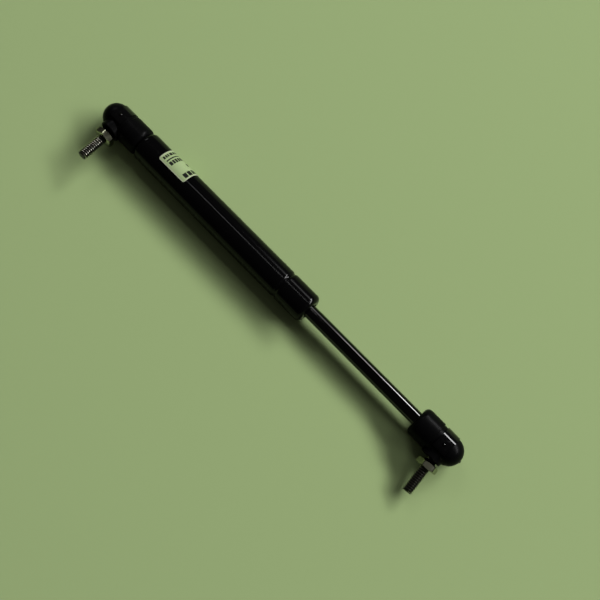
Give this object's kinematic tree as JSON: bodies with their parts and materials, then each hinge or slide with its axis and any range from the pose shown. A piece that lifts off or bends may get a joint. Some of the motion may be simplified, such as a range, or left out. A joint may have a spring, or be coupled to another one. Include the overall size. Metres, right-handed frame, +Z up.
{
  "type": "gas spring",
  "caption": "Slim gas spring with a black tube and rod, a moulded ball socket with a spring clip at each end, and threaded ball studs that point to one side.",
  "frame": {"origin": "centre of the tube-end ball, on the strut's axis", "axes": "+X along the strut towards the rod end, -Y the side that the studs point to, +Z up"},
  "size_m": [0.2792, 0.04, 0.0181],
  "materials": {
    "gloss_black_paint": "gloss black stove enamel on drawn steel tube",
    "turned_steel": "turned steel, oiled",
    "nitrile_rubber": "black nitrile rubber",
    "bearing_bronze": "sintered bronze, oil filled",
    "piston_plastic": "natural acetal",
    "label_film": null,
    "black_nitrided_rod": "ground steel, black nitrided and polished",
    "black_nylon": "black glass-filled nylon, fine moulded grain",
    "black_spring_steel": "black coated spring steel, glossy",
    "zinc_plated_steel": "bright zinc plate"
  },
  "bodies": {
    "tube": {"pressure_tube": "gloss_black_paint", "base_plug": "turned_steel", "base_o_ring": "nitrile_rubber", "rod_guide": "turned_steel", "guide_bush": "bearing_bronze", "guide_o_ring": "nitrile_rubber", "rod_seal": "nitrile_rubber", "seal_backing_ring": "turned_steel", "extension_stop": "piston_plastic", "dust_wiper": "nitrile_rubber", "label": "label_film", "tube_socket": "black_nylon", "tube_clip": "black_spring_steel"},
    "ring": {"piston_ring": "piston_plastic"},
    "rod": {"piston_rod": "black_nitrided_rod", "front_washer": "turned_steel", "piston": "piston_plastic", "orifice_disc": "turned_steel", "rear_washer": "turned_steel", "rod_socket": "black_nylon", "rod_clip": "black_spring_steel"},
    "tube_stud": {"tube_ball_stud": "zinc_plated_steel"},
    "rod_stud": {"rod_ball_stud": "zinc_plated_steel"}
  },
  "joints": [
    {"name": "rod_slide", "type": "slide", "parent": "tube", "child": "ring", "axis": [-1, 0, 0], "range_m": [0, 0.08], "stiffness_N_per_m": 60},
    {"name": "rod_turn", "type": "hinge", "parent": "ring", "child": "rod", "pos_m": [0.1252, 0, 0], "axis": [1, 0, 0], "continuous": true},
    {"name": "tube_stud_turn", "type": "hinge", "parent": "tube", "child": "tube_stud", "pos_m": [0, 0, 0], "axis": [0.0523, -0.9889, 0.139], "continuous": true},
    {"name": "rod_stud_turn", "type": "hinge", "parent": "rod", "child": "rod_stud", "pos_m": [0.254, 0, 0], "axis": [0.1219, -0.9871, -0.1037], "continuous": true}
  ]
}
